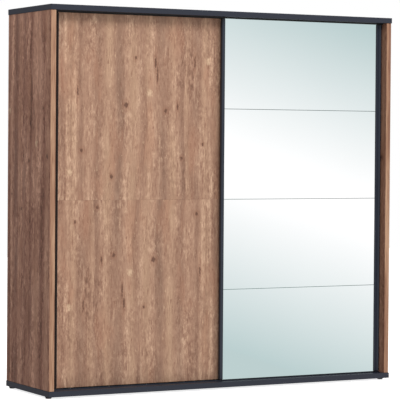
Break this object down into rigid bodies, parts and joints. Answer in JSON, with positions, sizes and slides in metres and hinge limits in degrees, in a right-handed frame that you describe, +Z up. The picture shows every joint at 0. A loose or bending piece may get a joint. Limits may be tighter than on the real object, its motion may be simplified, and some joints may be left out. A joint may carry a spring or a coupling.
{
  "type": "sliding door wardrobe",
  "caption": "Sliding door wardrobe: a wood-decor door and a mirrored door run in a double track in front of shelves and a hanging rail.",
  "frame": {"origin": "on the floor under the middle of the wardrobe's outline", "axes": "+Z up, +X to the right along the width seen from the front, the doors face -Y"},
  "size_m": [2.16, 0.58, 2.1],
  "materials": {
    "oak_decor": "rustic reddish-brown oak decor with vertical grain, satin",
    "anthracite_decor": "dark anthracite decor, satin",
    "interior_decor": "pale linen decor, matt",
    "backboard": "thin hard fibreboard, pale face, matt",
    "anthracite_aluminium": "dark anthracite powder coat, satin",
    "mirror_glass": "silvered mirror with polished edges",
    "fibreboard": "raw fibreboard",
    "zinced_steel": "bright zinc plate",
    "grey_nylon": "grey nylon",
    "black_plastic": "black moulded plastic",
    "brush_pile": "dense dark pile"
  },
  "bodies": {
    "carcass": {"top_plate": "anthracite_decor", "bottom_plate": "anthracite_decor", "left_side_panel": "oak_decor", "right_side_panel": "oak_decor", "centre_partition": "interior_decor", "left_back_panel": "backboard", "right_back_panel": "backboard", "front_left_foot": "black_plastic", "front_centre_foot": "black_plastic", "front_right_foot": "black_plastic", "rear_left_foot": "black_plastic", "rear_centre_foot": "black_plastic", "rear_right_foot": "black_plastic", "bottom_track": "anthracite_aluminium", "top_track": "anthracite_aluminium", "front_track_left_stop": "black_plastic", "front_track_right_stop": "black_plastic", "rear_track_left_stop": "black_plastic", "rear_track_right_stop": "black_plastic", "left_hat_shelf": "interior_decor", "left_hat_shelf_inner_rest": "zinced_steel", "left_hat_shelf_outer_rest": "zinced_steel", "right_hat_shelf": "interior_decor", "right_hat_shelf_inner_rest": "zinced_steel", "right_hat_shelf_outer_rest": "zinced_steel", "right_upper_shelf": "interior_decor", "right_upper_shelf_inner_rest": "zinced_steel", "right_upper_shelf_outer_rest": "zinced_steel", "right_lower_shelf": "interior_decor", "right_lower_shelf_inner_rest": "zinced_steel", "right_lower_shelf_outer_rest": "zinced_steel", "hanging_rail": "zinced_steel", "hanging_rail_outer_socket": "zinced_steel", "hanging_rail_inner_socket": "zinced_steel"},
    "wood_door": {"wood_door_lower_board": "oak_decor", "wood_door_upper_board": "oak_decor", "wood_door_tongue": "fibreboard", "wood_door_handle_profile": "anthracite_aluminium", "wood_door_edge_profile": "anthracite_aluminium", "wood_door_brush_strip": "brush_pile", "wood_door_left_roller_housing": "zinced_steel", "wood_door_left_top_guide": "grey_nylon", "wood_door_right_roller_housing": "zinced_steel", "wood_door_right_top_guide": "grey_nylon"},
    "mirror_door": {"mirror_door_backing_board": "anthracite_decor", "mirror_pane_1": "mirror_glass", "mirror_pane_2": "mirror_glass", "mirror_pane_3": "mirror_glass", "mirror_pane_4": "mirror_glass", "mirror_door_handle_profile": "anthracite_aluminium", "mirror_door_edge_profile": "anthracite_aluminium", "mirror_door_brush_strip": "brush_pile", "mirror_door_left_roller_housing": "zinced_steel", "mirror_door_left_top_guide": "grey_nylon", "mirror_door_right_roller_housing": "zinced_steel", "mirror_door_right_top_guide": "grey_nylon"},
    "wood_door_left_wheel_body": {"wood_door_left_wheel": "grey_nylon"},
    "wood_door_right_wheel_body": {"wood_door_right_wheel": "grey_nylon"},
    "mirror_door_left_wheel_body": {"mirror_door_left_wheel": "grey_nylon"},
    "mirror_door_right_wheel_body": {"mirror_door_right_wheel": "grey_nylon"}
  },
  "joints": [
    {"name": "wood_door_slide", "type": "slide", "parent": "carcass", "child": "wood_door", "axis": [1, 0, 0], "range_m": [0, 1.019]},
    {"name": "mirror_door_slide", "type": "slide", "parent": "carcass", "child": "mirror_door", "axis": [1, 0, 0], "range_m": [-1.019, 0]},
    {"name": "wood_door_left_wheel_turn", "type": "hinge", "parent": "wood_door", "child": "wood_door_left_wheel_body", "pos_m": [-0.917, -0.1987, 0.0537], "axis": [0, 1, 0], "range_deg": [0, 4870]},
    {"name": "wood_door_right_wheel_turn", "type": "hinge", "parent": "wood_door", "child": "wood_door_right_wheel_body", "pos_m": [-0.102, -0.1987, 0.0537], "axis": [0, 1, 0], "range_deg": [0, 4870]},
    {"name": "mirror_door_left_wheel_turn", "type": "hinge", "parent": "mirror_door", "child": "mirror_door_left_wheel_body", "pos_m": [0.102, -0.2307, 0.0537], "axis": [0, 1, 0], "range_deg": [-4870, 0]},
    {"name": "mirror_door_right_wheel_turn", "type": "hinge", "parent": "mirror_door", "child": "mirror_door_right_wheel_body", "pos_m": [0.917, -0.2307, 0.0537], "axis": [0, 1, 0], "range_deg": [-4870, 0]}
  ],
  "couplings": [
    {"joint": "wood_door_left_wheel_turn", "follows": "wood_door_slide", "rad_per_m": 83.333},
    {"joint": "wood_door_right_wheel_turn", "follows": "wood_door_slide", "rad_per_m": 83.333},
    {"joint": "mirror_door_left_wheel_turn", "follows": "mirror_door_slide", "rad_per_m": 83.333},
    {"joint": "mirror_door_right_wheel_turn", "follows": "mirror_door_slide", "rad_per_m": 83.333}
  ]
}
